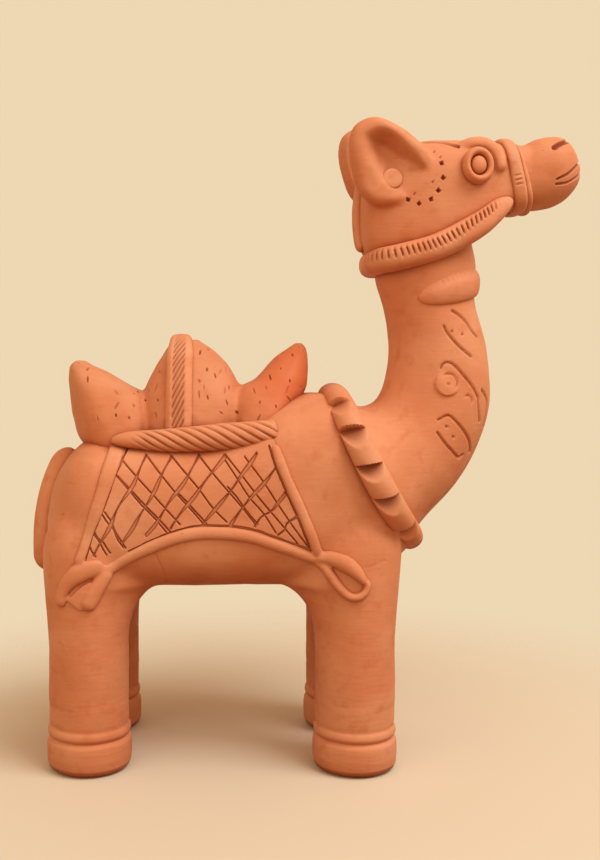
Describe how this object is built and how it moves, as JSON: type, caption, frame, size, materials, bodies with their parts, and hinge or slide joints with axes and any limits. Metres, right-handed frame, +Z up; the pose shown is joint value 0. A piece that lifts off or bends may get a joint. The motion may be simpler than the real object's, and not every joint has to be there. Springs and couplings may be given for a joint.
{
  "type": "terracotta camel figurine",
  "caption": "Standing hand-built terracotta camel with a hollow barrel trunk, raised neck, laid-on saddle, incised saddle cloth and rolled-coil harness; a fired ornament for a shelf.",
  "frame": {"origin": "on the floor under the middle of the figurine's box", "axes": "+X points to the muzzle, +Y to the camel's left, +Z up"},
  "size_m": [0.2214, 0.088, 0.2541],
  "materials": {
    "terracotta": "fired unglazed clay, hand-smoothed with slip, matte",
    "terracotta_trim": "fired unglazed clay, rolled coils and strips with tool cuts, matte",
    "terracotta_saddle": "fired unglazed clay, redder, pricked all over with a pointed tool, matte"
  },
  "bodies": {
    "root": {"trunk": "terracotta", "head": "terracotta", "neck": "terracotta", "front_leg_right": "terracotta", "front_leg_left": "terracotta", "rear_leg_right": "terracotta", "rear_leg_left": "terracotta", "muzzle": "terracotta", "ear_right": "terracotta", "ear_left": "terracotta", "tail": "terracotta", "saddle_hump": "terracotta_saddle", "saddle_rear_peak": "terracotta_saddle", "saddle_front_peak": "terracotta_saddle", "ear_boss_right": "terracotta_trim", "ear_boss_left": "terracotta_trim", "eye_ring_right": "terracotta_trim", "eye_ring_left": "terracotta_trim", "eye_pellet_right": "terracotta_trim", "eye_pellet_left": "terracotta_trim", "brow_roll_right": "terracotta_trim", "brow_roll_left": "terracotta_trim", "noseband": "terracotta_trim", "noseband_welt": "terracotta_trim", "jaw_strap": "terracotta_trim", "nape_strip": "terracotta_trim", "throat_roll": "terracotta_trim", "necklace": "terracotta_trim", "hump_strap": "terracotta_trim", "rope_roll_right": "terracotta_trim", "rope_roll_left": "terracotta_trim", "saddle_cloth_right": "terracotta_trim", "saddle_cloth_left": "terracotta_trim", "cloth_rear_edge_right": "terracotta_trim", "cloth_rear_edge_left": "terracotta_trim", "cloth_front_edge_right": "terracotta_trim", "cloth_front_edge_left": "terracotta_trim", "hem_coil_right": "terracotta_trim", "hem_coil_left": "terracotta_trim", "rear_ribbon_right": "terracotta_trim", "rear_ribbon_left": "terracotta_trim", "front_ribbon_right": "terracotta_trim", "front_ribbon_left": "terracotta_trim"}
  },
  "joints": []
}
